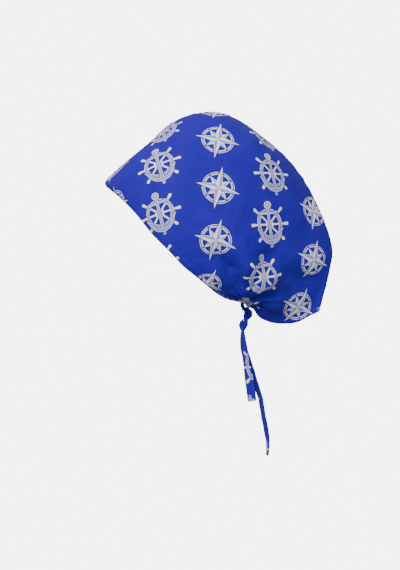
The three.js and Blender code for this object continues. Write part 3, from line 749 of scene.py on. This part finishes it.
# Turned hem. The cloth's edge is folded in by 9 mm and stitched down, so it forms a casing round the
# cap's opening. It shows the printed face inside, and its ends stop short of the nape for the ties.
HEM_FOLD_RADIUS, HEM_FOLD_DROP, HEM_FOLD_ROWS, HEM_THICKNESS = 1.1, 0.5, 7, 0.6
HEM_END = 0.925  # share of the way from brow to nape
hem_last = int(round(HEM_END * COLUMNS))
hem_top = int(np.searchsorted(from_rim[COLUMNS // 2], HEM_WIDTH))
band = []
for side in ("left", "right"):
    points, inward = (
        g[: hem_last + 1, : hem_top + 1] for g in (panel_points(side), -outward * MIRRORED[side])
    )
    down = points[:, 0] - points[:, 1]
    down -= (down * inward[:, 0]).sum(1, keepdims=True) * inward[:, 0]
    down /= np.linalg.norm(down, axis=1, keepdims=True)
    turn = np.linspace(0, np.pi, HEM_FOLD_ROWS)[None, :, None]
    fold = points[:, :1] + HEM_FOLD_RADIUS * (1 - np.cos(turn)) * inward[:, :1]
    fold = fold + HEM_FOLD_DROP * np.sin(turn) * down[:, None]
    inside = points[:, 1:] + 2 * HEM_FOLD_RADIUS * inward[:, 1:]
    strip = np.concatenate([fold, inside], 1)
    strip[0, :, 0] = 0
    band.append(strip)
hem, i, j = grid_piece("turned_hem", np.concatenate([band[0][::-1], band[1][1:]]))
column, row = np.abs(i - hem_last), np.maximum(j - HEM_FOLD_ROWS + 1, 0)
place = [along_rim[column, row] * np.sign(i - hem_last), from_rim[column, row] + j * 0.4]
write_cut(hem, np.stack(place, -1))
note(hem, from_rim=from_rim[column, row], from_seam=0 * j + FAR)
bpy.ops.object.shade_smooth()
hem.data.materials.append(poplin)
modify(hem, "SOLIDIFY", thickness=HEM_THICKNESS / 1000, offset=-1, use_rim=True)
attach(hem, "root")
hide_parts("hem_casing")

# Topstitching. A row of lockstitches in blue polyester thread holds the hem, 9 mm above its fold:
# stitches of 2.3 mm with small gaps where the thread dips, on the outside and on the inside.
STITCH_PITCH, STITCH_LENGTH, THREAD_RADIUS, THREAD_LIFT = 3.0, 2.3, 0.26, 0.08
INSIDE_LOWER, PATH_POINTS = 0.9, 700  # the inside row lies a little nearer to the fold
# Spun polyester dyed to match: a little glossier than the cloth, with its ply's twist across it. Its colour
# carries painted shade of the twist: darker in the grooves between the plies, lighter on their crowns.
thread = bpy.data.materials.new("polyester_thread")
tree = empty_tree(thread)
place = add_node(tree, "TexCoord").outputs["Object"]
twist = add_node(
    tree, "TexWave", {"Vector": place, "Scale": 700.0, "Distortion": 1.0}, bands_direction="DIAGONAL"
).outputs["Fac"]
ply_with_painted_shade = add_node(
    tree, "Mix", {0: twist, 6: linear("#101c8e"), 7: linear("#1c2ca6")}, data_type="RGBA"
).outputs[2]
raised = add_node(tree, "Bump", {"Strength": 0.4, "Distance": 0.0001, "Height": twist}).outputs[0]
rough = add_node(tree, "MapRange", {0: twist, 3: 0.6, 4: 0.75}).outputs[0]
polyester = add_node(tree, "BsdfPrincipled", {
    "Base Color": ply_with_painted_shade, "Roughness": rough, "Normal": raised, "IOR": 1.57, "Sheen Weight": 0.1,
})
add_node(tree, "OutputMaterial", {"Surface": polyester.outputs[0]})
for face, lift, at in (
    ("outside", THREAD_LIFT, HEM_WIDTH),
    ("inside", -2 * HEM_FOLD_RADIUS - THREAD_LIFT, HEM_WIDTH - INSIDE_LOWER),
):
    lines = []
    for side in ("left", "right"):
        points = panel_points(side) + lift * (outward * MIRRORED[side])
        lines.append(np.array([
            [np.interp(at, from_rim[k], points[k, :, axis]) for axis in range(3)] for k in range(1, hem_last)
        ]))
    line = np.concatenate([lines[0][::-1], lines[1]])
    line = evenly(line)(np.linspace(0, 1, PATH_POINTS))
    path_data = bpy.data.curves.new(f"stitch_path_{face}", "CURVE")
    path_data.dimensions = "3D"
    route = path_data.splines.new("POLY")
    route.points.add(len(line) - 1)
    route.points.foreach_set("co", np.concatenate([line / 1000, np.ones((len(line), 1))], 1).ravel())
    path = bpy.data.objects.new(path_data.name, path_data)
    bpy.context.collection.objects.link(path)
    deselect()
    bpy.ops.mesh.primitive_uv_sphere_add(
        segments=8, ring_count=7, radius=1, rotation=(0, math.pi / 2, 0), calc_uvs=False
    )
    stitches = bpy.context.object
    stitches.name = stitches.data.name = f"hem_stitches_{face}"
    bpy.ops.object.transform_apply(location=False, rotation=True, scale=False)
    stitches.scale = (STITCH_LENGTH / 2000, THREAD_RADIUS / 1000, THREAD_RADIUS / 1000)
    bpy.ops.object.transform_apply(location=False, rotation=False, scale=True)
    count = int(run_along(line)[-1] / STITCH_PITCH)
    modify(stitches, "ARRAY", count=count, use_relative_offset=False, use_constant_offset=True,
           constant_offset_displace=(STITCH_PITCH / 1000, 0, 0))
    modify(stitches, "CURVE", object=path, deform_axis="POS_X")
    bpy.data.objects.remove(path)
    bpy.ops.object.shade_smooth()
    stitches.data.materials.append(thread)
    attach(stitches, "root")

# Ties. Each is a strip of the same cotton folded in four and stitched along its edges to an 11 mm
# tape. It leaves the hem at the nape, winds about the other in a tight knot, and hangs free to a cut end.
TIE_WIDTH, TIE_THICKNESS = 11.0, 1.6
STRAND_DEPTH, STRAND_HEIGHT = 5.2, 4.6  # bunched, where the two press against each other
KNOT_RADIUS, KNOT_HEIGHT, KNOT_DROP = 2.6, 23.1, 5.0
SHORT_TAIL, LONG_TAIL = 80.0, 141.0
# Tails: drop in tail lengths, x and y in tape widths, turn in degrees, how bunched the tape is.
SHORT_ROWS = [
    (0.05, 0.2, -0.04, 12, 0.8), (0.1, 0.2, -0.04, 28, 0.5), (0.17, 0.2, 0.0, 36, 0.2),
    (0.26, 0.2, 0.08, 34, 0), (0.38, 0.24, 0.25, 32, 0), (0.52, 0.32, 0.46, 42, 0),
    (0.7, 0.4, 0.64, 56, 0), (0.85, 0.44, 0.8, 62, 0), (1, 0.46, 0.94, 60, 0),
]
LONG_ROWS = [
    (0.028, -0.2, 0.04, 12, 0.8), (0.057, -0.2, 0.06, 28, 0.5), (0.097, -0.2, 0.08, 36, 0.2),
    (0.148, -0.18, 0.18, 34, 0), (0.21, -0.2, 0.42, 32, 0), (0.3, -0.26, 0.84, 30, 0),
    (0.42, -0.34, 1.3, 30, 0), (0.54, -0.38, 1.78, 26, 0), (0.66, -0.4, 2.06, 24, 0),
    (0.8, -0.42, 2.4, 26, 0), (0.91, -0.42, 2.56, 18, 0), (1, -0.42, 2.5, 10, 0),
]
# On the way out: how far past the hem's end, how far up the hem's width, how deep under the cloth.
WAY_OUT = (0.013, 0.42, 3.3)
# Then round the rim's edge: mm to the side, and mm behind and above the nape.
ROUND_THE_RIM = [(11.7, -2.0, 4.4), (8.8, -4.1, 0.9)]
BEND = (5.4, -0.11, -0.026)
KNOT_ROWS = [(0.07, 0), (0.11, 0.2), (0.04, 0.42), (-0.12, 0.72), (-0.156, 1)]
knot_top = nape[1] - KNOT_DROP
knot_points = [(0, nape[0] + y * KNOT_HEIGHT, knot_top - drop * KNOT_HEIGHT) for y, drop in KNOT_ROWS]
knot_line = evenly(spline(knot_points))


def tie_stations(side, rows, tail):
    """Centres, across directions and bunching from the hem's end to the free end."""
    sign = 1 if side == "left" else -1
    centres, across, bunched = [], [], []
    on, up, depth = WAY_OUT
    ends = np.full(200, HEM_END + on)
    shares = np.linspace(0, 0.5, 200)
    rib = smooth_point(ends, shares)
    run = np.linalg.norm(rib - rib[0], axis=1)
    u = np.array([0.0, np.interp(up * HEM_WIDTH, run, shares)])
    rib = smooth_point(ends[:2], u)
    rib = rib + smooth_normal(ends[:2], u) * (fold_lift(rib, side) - depth)[:, None]
    rib[:, 0] *= sign
    centres.append(rib[1])
    across.append(rib[1] - rib[0])
    bunched.append(0.9)
    for x, y, z in ROUND_THE_RIM:
        centres.append((sign * x, nape[0] + y, nape[1] + z))
        across.append((-sign, 0, 0))
        bunched.append(0.9)
    centres.append((sign * BEND[0], nape[0] + BEND[1] * KNOT_HEIGHT, knot_top - BEND[2] * KNOT_HEIGHT))
    across.append((-sign, 0, 1))
    bunched.append(0.9)
    for share in np.linspace(0, 1, 33):
        angle = 2 * math.pi * share + (0 if side == "left" else math.pi)
        out = np.array([math.cos(angle), math.sin(angle), 0])
        centres.append(knot_line(share) + KNOT_RADIUS * out)
        across.append(-out)
        bunched.append(1)
    for drop, x, y, turn, full in rows:
        centres.append(knot_line(1.0) + np.array([x * TIE_WIDTH, y * TIE_WIDTH, -drop * tail]))
        across.append((-sign * math.cos(math.radians(turn)), -sign * math.sin(math.radians(turn)), 0))
        bunched.append(full)
    across = np.array(across, float)
    return np.array(centres, float), across / np.linalg.norm(across, axis=1, keepdims=True), np.array(bunched)


# The tape is the crown's cloth, so pieces of its motifs show; both edges have a stitched line.
tape = printed_cotton("folded_cotton_tape", ROYAL_BLUE, 1.0, stitch_at=TIE_WIDTH / 2 - 1.5)
TIE_CORNERS, TIE_STEPS, TIE_POINT_GAP = 40, 8, 0.75
EDGE_STITCH, EDGE_STITCH_WIDTH = 0.73, 0.07  # shares of half the tape's width
# Where each tie's cloth was cut from the print: mm sideways and degrees, and the seed of its ripples.
for name, side, rows, tail, print_at, print_turn, seed in (
    ("short_tie", "left", SHORT_ROWS, SHORT_TAIL, 4.1, 14, 5),
    ("long_tie", "right", LONG_ROWS, LONG_TAIL, -11.0, -14, 8),
):
    centres, across, bunched = tie_stations(side, rows, tail)
    line = spline(centres, TIE_STEPS)
    t = np.arange(len(line)) / TIE_STEPS
    known = np.arange(len(centres))
    wide = np.stack([np.interp(t, known, across[:, k]) for k in range(3)], -1)
    bunch = np.interp(t, known, bunched)
    run = run_along(line)
    even = np.linspace(0, run[-1], int(run[-1] / TIE_POINT_GAP))
    line, wide = (np.stack([np.interp(even, run, v[:, k]) for k in range(3)], -1) for v in (line, wide))
    bunch = np.interp(even, run, bunch)[:, None]
    ahead = np.gradient(line, axis=0)
    ahead /= np.linalg.norm(ahead, axis=1, keepdims=True)
    wide -= (wide * ahead).sum(1, keepdims=True) * ahead
    wide /= np.linalg.norm(wide, axis=1, keepdims=True)
    thick = np.cross(ahead, wide)
    half_width = mix(TIE_WIDTH, STRAND_DEPTH, bunch) / 2
    half_thick = mix(TIE_THICKNESS, STRAND_HEIGHT, bunch) / 2
    # The section is nearly a rectangle on the flat tape and nearly an ellipse where it is bunched.
    square = mix(0.3, 0.9, bunch)
    angle = np.linspace(0, 2 * np.pi, TIE_CORNERS + 1)[None]
    a = np.sign(np.cos(angle)) * np.abs(np.cos(angle)) ** square
    b = np.sign(np.sin(angle)) * np.abs(np.sin(angle)) ** square
    # Creases run along the bunched cloth; on the flat tape the stitched line near each edge sinks in.
    crease = 1 - 0.09 * bunch * (1 + np.cos(5 * angle + 0.12 * even[:, None]))
    crease = crease - 0.05 * bunch * np.cos(9 * angle - 0.2 * even[:, None])
    dip = 1 - 0.28 * (1 - bunch) * ridge(np.abs(a), EDGE_STITCH, EDGE_STITCH_WIDTH)
    soft = waves(even, 0 * even, seed, [(17, 0.22), (37, 0.3)])[:, None] * (1 - bunch)
    shape = line[:, None] + wide[:, None] * (half_width * a * crease)[..., None]
    shape = shape + thick[:, None] * (half_thick * b * crease * dip + soft * (a * a - 0.3))[..., None]
    shape[:, -1] = shape[:, 0]
    tie, i, j = grid_piece(name, shape)
    round_it = run_along(shape[-30])
    slant = math.radians(print_turn)
    place = [
        round_it[j] * math.cos(slant) - even[i] * math.sin(slant) + print_at,
        round_it[j] * math.sin(slant) + even[i] * math.cos(slant),
    ]
    write_cut(tie, np.stack(place, -1))
    off_middle, far = (np.abs(a) * half_width)[i, j], 0 * j + FAR
    note(tie, from_rim=far, from_seam=far, across=off_middle, along_seam=even[i])
    bpy.ops.object.mode_set(mode="EDIT")
    bpy.ops.mesh.select_all(action="SELECT")
    bpy.ops.mesh.remove_doubles(threshold=0.000002)
    bpy.ops.mesh.fill_holes(sides=0)
    bpy.ops.mesh.normals_make_consistent(inside=False)
    bpy.ops.object.mode_set(mode="OBJECT")
    bpy.ops.object.shade_smooth_by_angle(angle=math.radians(50))
    tie.data.materials.append(tape)
    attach(tie, "root")
    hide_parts(f"{side}_tie")

# Studio floor and light. A pale matt floor well below, one large softbox ahead and above on the
# camera's side, a weaker one overhead, and a white room that fills the shadows.
bpy.ops.mesh.primitive_plane_add(size=14, location=(0, 0, -1.0))
floor = bpy.context.object
floor.name = "studio_floor"
# Matt wall paint: near white, with a faint roller texture.
paint = bpy.data.materials.new("matt_white_paint")
tree = empty_tree(paint)
place = add_node(tree, "TexCoord").outputs["Object"]
roller = add_node(tree, "TexNoise", {"Vector": place, "Scale": 260.0, "Detail": 2.0}).outputs[0]
tone = add_node(
    tree, "Mix", {0: roller, 6: linear("#f4f4f4"), 7: linear("#fbfbfb")}, data_type="RGBA"
).outputs[2]
stipple = add_node(tree, "Bump", {"Strength": 0.1, "Distance": 0.0005, "Height": roller}).outputs[0]
matt = add_node(tree, "BsdfPrincipled", {
    "Base Color": tone, "Roughness": 0.9, "Normal": stipple, "Emission Color": tone, "Emission Strength": 5.6,
})
add_node(tree, "OutputMaterial", {"Surface": matt.outputs[0]})
floor.data.materials.append(paint)
# It shows as pale as the room round it, and throws no light up under the cap.
floor.visible_diffuse = floor.visible_glossy = False
world = bpy.data.worlds.new("white_studio")
bpy.context.scene.world = world
tree = empty_tree(world)
ROOM_LIGHT, ROOM_WHITE = 0.36, 6.0
seen = add_node(tree, "LightPath").outputs["Is Camera Ray"]
room = add_node(tree, "MapRange", {0: seen, 3: ROOM_LIGHT, 4: ROOM_WHITE}).outputs[0]
room = add_node(tree, "Background", {"Color": (1, 1, 1, 1), "Strength": room})
add_node(tree, "OutputWorld", {"Surface": room.outputs[0]})
for name, place, size, power in (
    ("key_softbox", (2.5, -0.6, 1.2), 1.0, 14),
    ("top_softbox", (-0.4, -0.6, 2.0), 1.4, 3),
):
    bpy.ops.object.light_add(type="AREA", location=place)
    lamp = bpy.context.object
    lamp.name = name
    lamp.data.size = size
    lamp.data.energy = power
    lamp.data.spread = math.radians(70)
    lamp.rotation_euler = (Vector((0, 0.03, 0)) - Vector(place)).to_track_quat("-Z", "Y").to_euler()

# Camera. Level with the cap's middle and square to its left side, far off with a long lens, so that
# the picture is 0.6384 m high at the centre seam.
VIEW_HEIGHT, DISTANCE = 0.6384, 3.8
bpy.ops.object.camera_add(location=(DISTANCE, 0.0271, -0.0425), rotation=(math.pi / 2, 0, math.pi / 2))
camera = bpy.context.object
camera.data.sensor_width = 36
camera.data.lens = 36 * DISTANCE / VIEW_HEIGHT
bpy.context.scene.camera = camera
